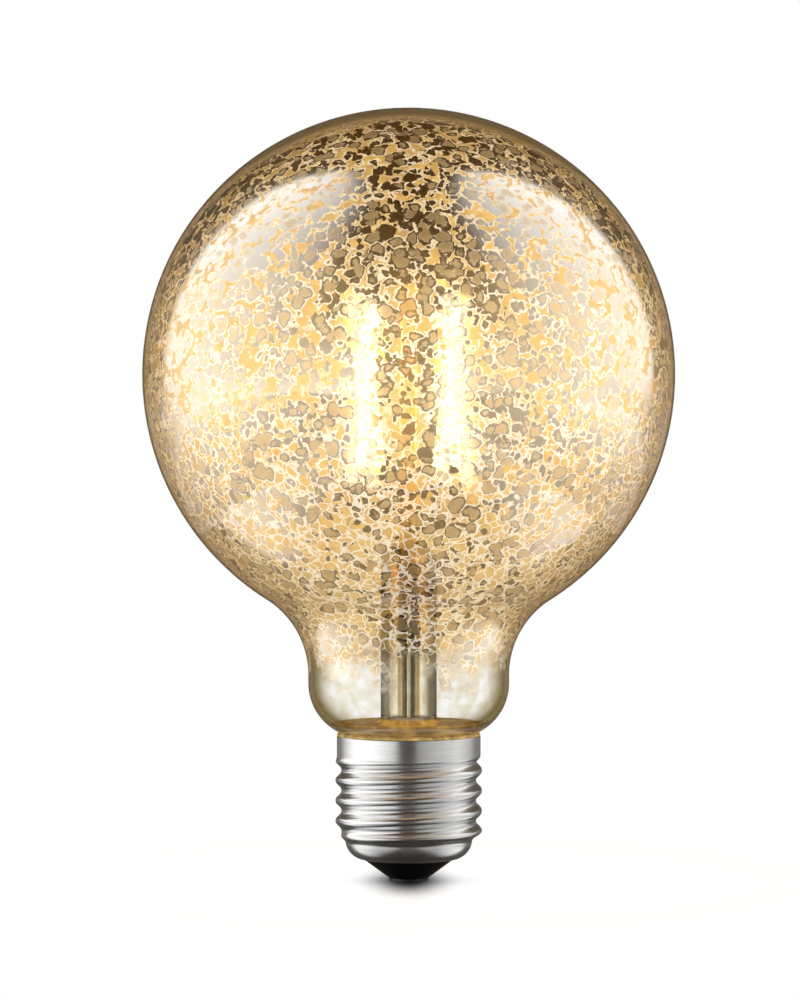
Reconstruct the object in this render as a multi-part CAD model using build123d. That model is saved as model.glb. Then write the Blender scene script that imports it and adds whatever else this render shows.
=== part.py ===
"""LED globe bulb with a mirror-coated glass globe, four filament bars and an E27 screw cap.

Millimetres. The origin is under the centre contact, +Z runs up the axis and -Y faces the viewer.
"""

import os
from math import acos, ceil, cos, pi, radians, sin, sqrt

from build123d import *

# Glass globe, neck and tail
GLOBE_DIAMETER = 95.0
OVERALL_LENGTH = 138.0
GLASS_WALL = 0.8
NECK_DIAMETER = 35.9
NECK_BLEND_RADIUS = 16.0
NECK_SHOULDER_RADIUS = 9.75
TAIL_DIAMETER = 23.6
TAIL_DEPTH = 2.6
TAIL_FILLET = 0.5
SEAL_RISE = 2.4
SEAL_DIAMETER = 25.2

# Screw cap
RIM_HEIGHT = 26.0
SHEET = 0.3
SKIRT_DIAMETER = 25.7
SKIRT_LENGTH = 3.5
THREAD_MAJOR = 26.2
THREAD_MINOR = 24.1
THREAD_PITCH = 3.629
THREAD_TOP_ROOT = 4.4
THREAD_RUN_OUT = 1.5
THREAD_LEAD_IN = 2.1
FOOT_DIAMETER = 22.6
FOOT_HEIGHT = 6.8
FOOT_BULGE = 0.75
LIP_DIAMETER = 16.2
LIP_HEIGHT = 3.85
CEMENT_HEIGHT = 5.2
CEMENT_BORE = 16.4
BEAD_HEIGHT = 0.3

# Insulator and centre contact
CONTACT_DIAMETER = 7.0
CONTACT_THICKNESS = 0.5
CONTACT_EDGE = 0.2
SHANK_DIAMETER = 3.0
SHANK_BORE = 1.2
SHANK_RISE = 0.6
INSULATOR_WALL = 1.5
INSULATOR_RISE = 0.6
INSULATOR_FLOOR = 1.6

# Glass stem
STEM_DIAMETER = 10.0
STEM_WALL = 1.0
FLARE_RADIUS = 1.2
STEM_HEIGHT = 40.5
PINCH_HEIGHT = 6.8
PINCH_THICKNESS = 3.6
SHOULDER_HEIGHT = 4.0
EXHAUST_DIAMETER = 4.0
EXHAUST_WALL = 0.8
EXHAUST_TIP = 4.4
BLOW_HOLE = 1.4
ROD_DIAMETER = 3.0
BUTTON_DIAMETER = 4.4
WIRE_SPREAD = 6.0

# Filaments and their wires
FILAMENT_LENGTH = 28.5
FILAMENT_WIDTH = 1.9
FILAMENT_THICKNESS = 1.5
FILAMENT_RISE = 19.2
CAGE_RADIUS = 10.0
CAGE_TWIST = 25.0
CAGE_AZIMUTH = 223.0
TAB_LENGTH = 4.4
TAB_WIDTH = 1.0
TAB_THICKNESS = 0.25
WIRE_DIAMETER = 0.6
WIRE_BEND = 0.9

# Driver in the cap
BOARD_WIDTH = 15.0
BOARD_HEIGHT = 14.4
BOARD_THICKNESS = 1.0
BOARD_OFFSET = 2.2
CAN_DIAMETER = 8.0
CAN_LENGTH = 11.0
CAN_GROOVE = 0.3
RESISTOR_DIAMETER = 2.4
RESISTOR_LENGTH = 6.5
LEAD_DIAMETER = 0.5
RECTIFIER_SIZE = (4.7, 2.4, 3.9)
CHIP_SIZE = (3.9, 1.5, 4.9)
CHIP_RESISTOR_SIZE = (1.6, 0.6, 3.2)

# Clearance between pieces that are fitted, not fused
FIT = 0.03

# Heights that follow from the sizes above
GLOBE_Z = OVERALL_LENGTH - GLOBE_DIAMETER / 2
TAIL_R = TAIL_DIAMETER / 2
TAIL_BORE_R = TAIL_R - GLASS_WALL
TAIL_Z = RIM_HEIGHT - TAIL_DEPTH
NECK_R = NECK_DIAMETER / 2
FLARE_Z = RIM_HEIGHT + SEAL_RISE
SEAL_R = SEAL_DIAMETER / 2
SEAL_Z = FLARE_Z - STEM_WALL
PINCH_TOP = FLARE_Z + STEM_HEIGHT
PINCH_BASE = PINCH_TOP - PINCH_HEIGHT
TUBE_TOP = PINCH_BASE - SHOULDER_HEIGHT
BORE_TOP = TUBE_TOP - STEM_WALL
CAGE_Z = PINCH_TOP + FILAMENT_RISE
ZONE_HIGH = RIM_HEIGHT - SKIRT_LENGTH
FLOOR_Z = LIP_HEIGHT + INSULATOR_FLOOR
SHANK_TOP = FLOOR_Z + SHANK_RISE
BOARD_TOP = FLOOR_Z + BOARD_HEIGHT
BOARD_BACK = BOARD_OFFSET + BOARD_THICKNESS
CAP_BORE_R = SKIRT_DIAMETER / 2 - SHEET


def revolved(*edges):
    """Solid of revolution about Z from edges drawn as (radius, height) in the XZ plane."""
    return revolve(Plane.XZ * make_face(Curve() + list(edges)), Axis.Z)


def polar(radius, angle, height=0.0):
    """Point at a radius and an angle in degrees round the axis."""
    return Vector(radius * cos(radians(angle)), radius * sin(radians(angle)), height)


def bent_wire(points, diameter, bend=WIRE_BEND):
    """Round wire along straight runs joined by bends."""
    path = FilletPolyline(*points, radius=bend)
    return sweep(Plane(origin=path @ 0, z_dir=path % 0) * Circle(diameter / 2), path=path)


def straight_wire(start, end, diameter):
    """Round straight wire between two points."""
    run = Vector(*end) - Vector(*start)
    return extrude(Plane(origin=start, z_dir=run) * Circle(diameter / 2), run.length)


def globe_envelope():
    """Blown globe with its concave neck blend, round shoulder, seal ledge and cylindrical tail."""
    ball = GLOBE_DIAMETER / 2
    fall = acos((NECK_R + NECK_BLEND_RADIUS) / (ball + NECK_BLEND_RADIUS))
    blend_z = GLOBE_Z - (ball + NECK_BLEND_RADIUS) * sin(fall)
    inset = NECK_R - NECK_SHOULDER_RADIUS
    turn = acos((TAIL_R - inset) / NECK_SHOULDER_RADIUS)
    shoulder_z = RIM_HEIGHT + BEAD_HEIGHT + NECK_SHOULDER_RADIUS * sin(turn)

    def half(wall, end_r, end_z):
        """Half section edges of one face of the wall, from the crown down to the end of the shoulder."""
        r = ball - wall
        neck = NECK_R - wall
        blend = NECK_BLEND_RADIUS + wall
        drop = shoulder_z - end_z
        reach = neck - end_r
        round_r = (reach * reach + drop * drop) / (2 * reach)
        sweep_angle = acos(1 - reach / round_r)
        mid = (neck - round_r + round_r * cos(sweep_angle / 2), shoulder_z - round_r * sin(sweep_angle / 2))
        side = radians(45) - fall / 2
        join = (r * cos(fall), GLOBE_Z - r * sin(fall))
        blend_mid = (NECK_R + NECK_BLEND_RADIUS - blend * cos(fall / 2), blend_z + blend * sin(fall / 2))
        return [
            ThreePointArc((0, GLOBE_Z + r), (r * cos(side), GLOBE_Z + r * sin(side)), join),
            ThreePointArc(join, blend_mid, (neck, blend_z)),
            Line((neck, blend_z), (neck, shoulder_z)),
            ThreePointArc((neck, shoulder_z), mid, (end_r, end_z)),
        ]

    body = revolved(
        *half(0, TAIL_R, RIM_HEIGHT + BEAD_HEIGHT),
        Polyline(
            (TAIL_R, RIM_HEIGHT + BEAD_HEIGHT),
            (TAIL_R, TAIL_Z),
            (TAIL_BORE_R, TAIL_Z),
            (TAIL_BORE_R, SEAL_Z),
            (SEAL_R, SEAL_Z),
            (SEAL_R, FLARE_Z),
        ),
        *half(GLASS_WALL, SEAL_R, FLARE_Z),
        Line((0, GLOBE_Z + ball - GLASS_WALL), (0, GLOBE_Z + ball)),
    )
    root = [
        e
        for e in body.edges().filter_by(GeomType.CIRCLE)
        if abs(e.radius - TAIL_R) < 1e-4 and abs(e.center().Z - RIM_HEIGHT - BEAD_HEIGHT) < 1e-4
    ]
    return fillet(root, TAIL_FILLET)


def ease(share):
    """Smooth step from 0 to 1."""
    share = min(1.0, max(0.0, share))
    return share * share * (3 - 2 * share)


def thread_radius(z, theta):
    """Outside radius of the rolled cap sheet at a height and an angle in radians.

    The knuckle thread is a rounded wave wound up the cap; it rises out of the foot at the bottom
    and runs out along its own helix into the plain skirt at the top.
    """
    top_root = RIM_HEIGHT - THREAD_TOP_ROOT
    turns = (z - top_root) / THREAD_PITCH - theta / (2 * pi)
    phase = 2 * pi * turns
    wave = (1 - 1.05 * cos(phase) + 0.05 * cos(3 * phase)) / 2
    wound = round(turns) + theta / (2 * pi)
    run_out = 1 - ease((wound - 1.0) / 0.3)
    groove = (THREAD_MAJOR - THREAD_MINOR) / 2 * (1 - wave) * run_out
    radius = THREAD_MAJOR / 2 - groove
    skirt = SKIRT_DIAMETER / 2
    radius = skirt + (radius - skirt) * ease((ZONE_HIGH - z) / THREAD_RUN_OUT)
    foot = FOOT_DIAMETER / 2
    return foot + (radius - foot) * ease((z - FOOT_HEIGHT) / THREAD_LEAD_IN)


def sheet_radius(z, theta):
    """Inside radius of the rolled sheet, so that the wall keeps its thickness on the flanks."""
    step = 0.05
    slope = (thread_radius(z + step, theta) - thread_radius(z - step, theta)) / (2 * step)
    return thread_radius(z, theta) - SHEET * sqrt(1 + slope * slope)


def foot_arc(lip, low, high, foot):
    """Three points of the curled foot of the cap as (radius, height), from the lip up."""
    run = sqrt((foot - lip) ** 2 + (high - low) ** 2)
    out = ((high - low) / run, (lip - foot) / run)
    mid = ((lip + foot) / 2 + FOOT_BULGE * out[0], (low + high) / 2 + FOOT_BULGE * out[1])
    return (lip, low), mid, (foot, high)


def shell_section(theta):
    """Closed section of the cap sheet at one angle round the axis."""
    steps = max(24, ceil(10 * (ZONE_HIGH - FOOT_HEIGHT) / THREAD_PITCH))
    knots = [i / steps for i in range(steps + 1)]

    def at(radius, z):
        """Place a radius and a height in the section plane."""
        return Vector(radius * cos(theta), radius * sin(theta), z)

    heights = [FOOT_HEIGHT + (ZONE_HIGH - FOOT_HEIGHT) * k for k in knots]
    outer = [at(thread_radius(z, theta), z) for z in heights]
    inner = [at(sheet_radius(z, theta), z) for z in reversed(heights)]
    skirt = SKIRT_DIAMETER / 2
    lip = LIP_DIAMETER / 2
    foot = FOOT_DIAMETER / 2
    outer_foot = [at(*p) for p in foot_arc(lip, LIP_HEIGHT, FOOT_HEIGHT, foot)]
    inner_foot = [at(*p) for p in foot_arc(lip, LIP_HEIGHT + SHEET, FOOT_HEIGHT, foot - SHEET)]
    inner_foot[2] = inner[-1]
    return Wire(
        [
            Edge.make_spline(outer, parameters=knots),
            Edge.make_line(outer[-1], at(skirt, RIM_HEIGHT)),
            Edge.make_line(at(skirt, RIM_HEIGHT), at(CAP_BORE_R, RIM_HEIGHT)),
            Edge.make_line(at(CAP_BORE_R, RIM_HEIGHT), inner[0]),
            Edge.make_spline(inner, parameters=knots),
            Edge.make_three_point_arc(inner_foot[2], inner_foot[1], inner_foot[0]),
            Edge.make_line(inner_foot[0], outer_foot[0]),
            Edge.make_three_point_arc(*outer_foot),
        ]
    )


def screw_shell():
    """Rolled cap: two lofted halves of the helical section, sewn into one thin-walled solid."""
    walls = []
    for side in range(2):
        sections = [shell_section(pi * (side + i / 10)) for i in range(11)]
        half = Solid.make_loft(sections)
        walls += [
            f
            for f in half.faces()
            if not (f.geom_type == GeomType.PLANE and abs(f.center().Y) < 1e-6 and abs(f.normal_at().Z) < 0.1)
        ]
    return Solid(Shell(walls))


def basing_cement(envelope):
    """Cement that fills the cap rim round and under the glass tail, with a bead over the rim."""
    low = RIM_HEIGHT - CEMENT_HEIGHT
    bore = CEMENT_BORE / 2
    high = SEAL_Z - 0.2
    wall = CAP_BORE_R - FIT
    root = min(wall, THREAD_MINOR / 2 - SHEET - FIT)
    skirt = SKIRT_DIAMETER / 2
    bead = RIM_HEIGHT + BEAD_HEIGHT
    body = revolved(
        Polyline(
            (bore, low),
            (root, low),
            (root, ZONE_HIGH),
            (wall, ZONE_HIGH + wall - root),
            (wall, RIM_HEIGHT + FIT),
            (skirt - FIT, RIM_HEIGHT + FIT),
            (skirt - FIT, bead),
            (TAIL_R, high),
            (bore, high),
            close=True,
        )
    )
    body = body - envelope
    body = body.solids().sort_by(lambda s: s.volume)[-1]
    return body - straight_wire((0, 0, NEUTRAL_Z), (0, CAP_BORE_R, NEUTRAL_Z), WIRE_DIAMETER)


def cap_insulator():
    """Black moulded foot: cone below the cap lip, dish seated in the curled foot above it."""
    lip = LIP_DIAMETER / 2 - FIT
    contact = CONTACT_DIAMETER / 2
    shank = SHANK_DIAMETER / 2 + FIT
    seat = foot_arc(lip, LIP_HEIGHT + SHEET + FIT, FOOT_HEIGHT, FOOT_DIAMETER / 2 - SHEET - FIT)
    top = FOOT_HEIGHT + INSULATOR_RISE
    wall = seat[2][0] - INSULATOR_WALL
    return revolved(
        Polyline(
            (shank, FLOOR_Z),
            (shank, CONTACT_THICKNESS),
            (contact, CONTACT_THICKNESS),
            (lip - 0.15, LIP_HEIGHT - 0.1),
            (lip, LIP_HEIGHT),
            seat[0],
        ),
        ThreePointArc(*seat),
        Polyline(
            seat[2],
            (seat[2][0], top),
            (wall, top),
            (wall, FLOOR_Z + 0.6),
            (wall - 0.6, FLOOR_Z),
            (shank, FLOOR_Z),
        ),
    )


def centre_contact():
    """Pressed contact: flat disc under the insulator and a hollow shank up through it."""
    disc = Cylinder(CONTACT_DIAMETER / 2, CONTACT_THICKNESS, align=(Align.CENTER, Align.CENTER, Align.MIN))
    disc = fillet(disc.edges().group_by(Axis.Z)[0], CONTACT_EDGE)
    shank = Cylinder(SHANK_DIAMETER / 2, SHANK_TOP, align=(Align.CENTER, Align.CENTER, Align.MIN))
    bore = Cylinder(SHANK_BORE / 2, SHANK_TOP, align=(Align.CENTER, Align.CENTER, Align.MIN))
    return disc + shank - Pos(0, 0, CONTACT_THICKNESS) * bore


def stem_flare():
    """Glass stem: flat foot on the neck's seal ledge, tube, shoulder and the flat pinch round the wires."""
    out = STEM_DIAMETER / 2
    bore = out - STEM_WALL
    turn_r = out + FLARE_RADIUS
    turn_z = FLARE_Z + FLARE_RADIUS
    under = FLARE_RADIUS + STEM_WALL
    slant = sqrt(0.5)
    foot = revolved(
        Line((SEAL_R, FLARE_Z), (turn_r, FLARE_Z)),
        ThreePointArc(
            (turn_r, FLARE_Z),
            (turn_r - FLARE_RADIUS * slant, turn_z - FLARE_RADIUS * slant),
            (out, turn_z),
        ),
        Polyline((out, turn_z), (out, TUBE_TOP), (0, TUBE_TOP)),
        Polyline((0, TUBE_TOP), (0, BORE_TOP), (bore, BORE_TOP), (bore, turn_z)),
        ThreePointArc(
            (bore, turn_z),
            (turn_r - under * slant, turn_z - under * slant),
            (turn_r, SEAL_Z),
        ),
        Polyline((turn_r, SEAL_Z), (SEAL_R, SEAL_Z), (SEAL_R, FLARE_Z)),
    )
    press = RectangleRounded(PINCH_THICKNESS, STEM_DIAMETER, PINCH_THICKNESS * 0.45)
    shoulder = loft(
        [
            Plane.XY.offset(TUBE_TOP) * Circle(out),
            Plane.XY.offset(PINCH_BASE) * press,
        ]
    )
    pinch = extrude(Plane.XY.offset(PINCH_BASE) * press, PINCH_HEIGHT)
    body = foot + shoulder + pinch
    passage = EXHAUST_DIAMETER / 2 - EXHAUST_WALL
    vent_z = TUBE_TOP + SHOULDER_HEIGHT * 0.4
    body -= straight_wire((0, 0, BORE_TOP - 1), (0, 0, vent_z), 2 * passage)
    body -= straight_wire((0, 0, vent_z - BLOW_HOLE), (out, 0, vent_z - BLOW_HOLE + 1), BLOW_HOLE)
    for side in (-1, 1):
        y = side * WIRE_SPREAD / 2
        body -= straight_wire((0, y, BORE_TOP - 1), (0, y, PINCH_TOP + 1), WIRE_DIAMETER)
    return body


def exhaust_tube():
    """Pumping tube fused under the pinch, drawn off to a closed tip inside the cap."""
    out = EXHAUST_DIAMETER / 2
    bore = out - EXHAUST_WALL
    tip = RIM_HEIGHT - EXHAUST_TIP
    neck = tip + 2.2 * out
    draw = [(0, tip + 0.9 * out), (bore * 0.6, tip + 1.4 * out), (bore, neck)]
    return revolved(
        Polyline((bore, neck), (bore, BORE_TOP), (out, BORE_TOP), (out, neck)),
        Spline((out, neck), (out * 0.55, tip + 0.5 * out), (0, tip), tangents=[(0, -1), (-1, 0)]),
        Line((0, tip), draw[0]),
        Spline(*draw, tangents=[(1, 0.6), (0, 1)]),
    )


def filament_plane(index):
    """Local plane of one filament: z along the bar, x pointing out of the cage."""
    azimuth = CAGE_AZIMUTH - 90 * index
    half_twist = radians(CAGE_TWIST / 2)
    lean = 2 * CAGE_RADIUS * sin(half_twist) / FILAMENT_LENGTH
    outward = polar(1, azimuth)
    along = polar(1, azimuth + 90)
    axis = along * lean + Vector(0, 0, sqrt(1 - lean * lean))
    middle = polar(CAGE_RADIUS * cos(half_twist), azimuth, CAGE_Z)
    return Plane(origin=middle, x_dir=outward, z_dir=axis)


def tab_point(index, share, depth=0.0):
    """Point on a tab's inner face; share runs 0 to 1 out of the bar, negative on the lower tab."""
    end = FILAMENT_LENGTH / 2 + abs(share) * TAB_LENGTH
    local = (-TAB_THICKNESS / 2 - depth, 0, end if share > 0 else -end)
    return filament_plane(index).from_local_coords(Vector(*local))


def led_filament(index):
    """Phosphor-coated bar with rounded ends."""
    section = RectangleRounded(FILAMENT_THICKNESS, FILAMENT_WIDTH, FILAMENT_THICKNESS * 0.45)
    bar = extrude(Plane.XY.offset(-FILAMENT_LENGTH / 2) * section, FILAMENT_LENGTH)
    bar = chamfer(bar.edges().group_by(Axis.Z)[0] + bar.edges().group_by(Axis.Z)[-1], 0.25)
    return filament_plane(index) * bar


def filament_tab(index, side):
    """Flat metal tab that carries the bar at one end."""
    tab = Box(TAB_THICKNESS, TAB_WIDTH, TAB_LENGTH, align=(Align.CENTER, Align.CENTER, Align.MIN))
    tab = chamfer(tab.edges().filter_by(Axis.X).group_by(Axis.Z)[-1], TAB_WIDTH * 0.3)
    place = Pos(0, 0, FILAMENT_LENGTH / 2)
    if side < 0:
        place = Rot(180, 0, 0) * place
    return filament_plane(index) * place * tab


def lead_wire(side):
    """Wire from the driver board up the stem and the pinch to the lower tab of one bar."""
    index = 0 if side < 0 else 2
    y = side * WIRE_SPREAD / 2
    half = WIRE_DIAMETER / 2
    pad_x = side * (BOARD_WIDTH / 2 - 2)
    pad_y = BOARD_OFFSET - half - FIT
    end = tab_point(index, -0.8, half + FIT)
    return bent_wire(
        [
            (pad_x, pad_y, BOARD_TOP - 3.2),
            (pad_x, pad_y, BOARD_TOP + 1.2),
            (0, y, TAIL_Z + 1.6),
            (0, y, PINCH_TOP + 1.0),
            (end.X, end.Y, end.Z),
        ],
        WIRE_DIAMETER,
    )


def jumper_wire(first):
    """Curved wire that joins the lower tabs of two neighbouring bars."""
    half = WIRE_DIAMETER / 2
    a = tab_point(first, -0.35, half + 0.15)
    b = tab_point(first + 1, -0.35, half + 0.15)
    radius = sqrt(a.X**2 + a.Y**2)
    mid = (a + b) * 0.5
    mid = mid * (radius / sqrt(mid.X**2 + mid.Y**2))
    path = Edge.make_three_point_arc(a, Vector(mid.X, mid.Y, a.Z), b)
    return sweep(Plane(origin=path @ 0, z_dir=path % 0) * Circle(half), path=path)


def top_wire(first, share):
    """Straight wire through the rod's button that joins the upper tabs of two opposite bars."""
    gap = WIRE_DIAMETER / 2
    a = tab_point(first, share, gap)
    b = tab_point(first + 2, share, gap)
    return straight_wire(a, b, WIRE_DIAMETER)


def support_rod():
    """Glass rod on the pinch with a melted button that grips the top wires."""
    low = tab_point(0, 0.3).Z
    high = tab_point(0, 0.62).Z
    button_low = low - 1.4
    button_height = high + 1.4 - button_low
    rod = extrude(Plane.XY.offset(PINCH_TOP) * Circle(ROD_DIAMETER / 2), button_low + 0.8 - PINCH_TOP)
    button = extrude(Plane.XY.offset(button_low) * Circle(BUTTON_DIAMETER / 2), button_height)
    button = fillet(button.edges().filter_by(GeomType.CIRCLE), min(BUTTON_DIAMETER, button_height) * 0.3)
    return rod + button - top_wire(0, 0.3) - top_wire(1, 0.62)


def driver_board():
    """Board that stands on the insulator floor behind the contact shank."""
    board = Box(BOARD_WIDTH, BOARD_THICKNESS, BOARD_HEIGHT, align=(Align.CENTER, Align.MIN, Align.MIN))
    board = chamfer(board.edges().filter_by(Axis.Y), 0.8)
    return Pos(0, BOARD_OFFSET, FLOOR_Z) * board


def packaged_chip(size, x, z, pins):
    """Moulded package on the back of the board with flat feet along both long sides."""
    width, height, length = size
    body = Box(width, height, length, align=(Align.CENTER, Align.MIN, Align.CENTER))
    body = Pos(0, 0.15, 0) * chamfer(body.edges().group_by(Axis.Y)[-1], 0.25)
    for side in (-1, 1):
        for i in range(pins):
            foot = Box(1.2, 0.2, 0.45, align=(Align.CENTER, Align.MIN, Align.CENTER))
            body += Pos(side * width / 2, 0, (i - (pins - 1) / 2) * length / (pins + 0.2)) * foot
    return Pos(x, BOARD_BACK, z) * body


def chip_resistors():
    """Three chip resistors on the back of the board."""
    chip = Box(*CHIP_RESISTOR_SIZE, align=(Align.CENTER, Align.MIN, Align.CENTER))
    z = BOARD_TOP - 0.8 - CHIP_RESISTOR_SIZE[2] / 2
    return Compound([Pos(x, BOARD_BACK, z) * chip for x in (-5.2, -2.8, 4.2)])


def smoothing_capacitor():
    """Aluminium can lying on the board, with its crimp groove and two leads into the board."""
    r = CAN_DIAMETER / 2
    half = CAN_LENGTH / 2
    groove = half - 1.6
    can = revolved(
        Polyline(
            (0, -half),
            (r - 0.4, -half),
            (r, 0.4 - half),
            (r, groove - 0.6),
            (r - CAN_GROOVE, groove),
            (r, groove + 0.6),
            (r, half - 0.3),
            (r - 0.5, half),
            (0, half),
            close=True,
        )
    )
    y = BOARD_OFFSET - r - FIT
    can = Pos(0, y, CAN_Z) * Rot(0, 90, 0) * can
    for side in (-1, 1):
        z = CAN_Z + side * 1.6
        lead = bent_wire(
            [(half - 0.5, y, z), (half + 0.9, y, z), (half + 0.9, BOARD_OFFSET - FIT, z)], LEAD_DIAMETER, 0.4
        )
        can += lead
    return can


def fusible_resistor():
    """Axial resistor across the foot of the board, with bent leads."""
    r = RESISTOR_DIAMETER / 2
    half = RESISTOR_LENGTH / 2
    body = revolved(
        Polyline((0, -half), (r * 0.6, -half), (r, 0.9 - half)),
        Line((r, 0.9 - half), (r, half - 0.9)),
        Polyline((r, half - 0.9), (r * 0.6, half), (0, half), (0, -half)),
    )
    y = BOARD_OFFSET - r - FIT
    body = Pos(0, y, RESISTOR_Z) * Rot(0, 90, 0) * body
    for side in (-1, 1):
        body += bent_wire(
            [
                (side * (half - 0.4), y, RESISTOR_Z),
                (side * (half + 1.1), y, RESISTOR_Z),
                (side * (half + 1.1), BOARD_OFFSET - FIT, RESISTOR_Z),
            ],
            LEAD_DIAMETER,
            0.4,
        )
    return body


def live_wire():
    """Wire from the bore of the contact shank to the foot of the board."""
    z = SHANK_TOP + WIRE_DIAMETER / 2 + 0.2
    start = (0, 0, CONTACT_THICKNESS + FIT)
    return bent_wire([start, (0, 0, z), (0, BOARD_OFFSET - FIT, z)], WIRE_DIAMETER, 0.5)


def neutral_wire():
    """Wire from the back of the board through the cement to the cap skirt."""
    y = BOARD_BACK + WIRE_DIAMETER / 2 + FIT
    return bent_wire(
        [(0, y, BOARD_TOP - 4), (0, y, NEUTRAL_Z), (0, CAP_BORE_R - FIT, NEUTRAL_Z)],
        WIRE_DIAMETER,
    )


NEUTRAL_Z = (TAIL_Z + ZONE_HIGH) / 2
RESISTOR_Z = SHANK_TOP + WIRE_DIAMETER + RESISTOR_DIAMETER / 2 + 0.4
CAN_Z = RESISTOR_Z + RESISTOR_DIAMETER / 2 + CAN_DIAMETER / 2 + 0.3

glass = globe_envelope()
nodes = {
    "globe_envelope": glass,
    "screw_shell": screw_shell(),
    "basing_cement": basing_cement(glass),
    "cap_insulator": cap_insulator(),
    "centre_contact": centre_contact(),
    "stem_flare": stem_flare(),
    "exhaust_tube": exhaust_tube(),
    "support_rod": support_rod(),
    "lead_wire_left": lead_wire(-1),
    "lead_wire_right": lead_wire(1),
    "jumper_wire_left": jumper_wire(0),
    "jumper_wire_right": jumper_wire(2),
    "top_wire_lower": top_wire(0, 0.3),
    "top_wire_upper": top_wire(1, 0.62),
    "driver_board": driver_board(),
    "bridge_rectifier": packaged_chip(RECTIFIER_SIZE, -3.4, BOARD_TOP - 8.4, 2),
    "driver_chip": packaged_chip(CHIP_SIZE, 3.4, BOARD_TOP - 8.4, 4),
    "chip_resistors": chip_resistors(),
    "smoothing_capacitor": smoothing_capacitor(),
    "fusible_resistor": fusible_resistor(),
    "live_wire": live_wire(),
    "neutral_wire": neutral_wire(),
}
for i in range(4):
    nodes[f"led_filament_{i + 1}"] = led_filament(i)
    nodes[f"filament_{i + 1}_lower_tab"] = filament_tab(i, -1)
    nodes[f"filament_{i + 1}_upper_tab"] = filament_tab(i, 1)

os.makedirs("parts", exist_ok=True)
for name, shape in nodes.items():
    export_step(shape, f"parts/{name}.step")
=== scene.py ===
"""Looks of the LED globe bulb: mirror-coated globe, glass stem, lit bars and rolled screw cap."""

import logging
import math
from dataclasses import dataclass, field
from enum import Enum
from typing import Sequence

import bpy
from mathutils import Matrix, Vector


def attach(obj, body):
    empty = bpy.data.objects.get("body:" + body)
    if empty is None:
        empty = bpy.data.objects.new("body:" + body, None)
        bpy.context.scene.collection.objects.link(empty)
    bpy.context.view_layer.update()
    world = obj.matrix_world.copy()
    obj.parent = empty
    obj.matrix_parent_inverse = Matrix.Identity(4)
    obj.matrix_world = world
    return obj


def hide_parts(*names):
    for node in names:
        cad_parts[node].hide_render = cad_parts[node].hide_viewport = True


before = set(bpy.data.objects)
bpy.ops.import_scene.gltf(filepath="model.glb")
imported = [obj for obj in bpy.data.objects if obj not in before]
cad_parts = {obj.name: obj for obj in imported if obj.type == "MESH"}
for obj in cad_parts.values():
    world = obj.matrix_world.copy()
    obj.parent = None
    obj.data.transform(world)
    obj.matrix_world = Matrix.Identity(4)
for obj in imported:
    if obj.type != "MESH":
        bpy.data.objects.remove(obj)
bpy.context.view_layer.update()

Pair = tuple[float, float]
Step = tuple[float, float, float, float]
Colour = tuple[float, float, float]
Profile = list[Pair]
Ring = tuple[Sequence[float], float]
Material = bpy.types.Material
Node = bpy.types.Node
Piece = bpy.types.Object
Socket = bpy.types.NodeSocket
Value = float | Colour | Socket

LOG = logging.getLogger("bulb")
METRE = 1.0
MM = 0.001
POLE_RADIUS = 1e-6
WHITE: Colour = (1.0, 1.0, 1.0)
BLACK: Colour = (0.0, 0.0, 0.0)


class Slot(Enum):
    """Material slots of the record for the coated glass and the cap's metal; nothing in this script uses
    them.
    """

    COATED_GLASS = "coated_glass"
    CAP_METAL = "cap_metal"


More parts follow.
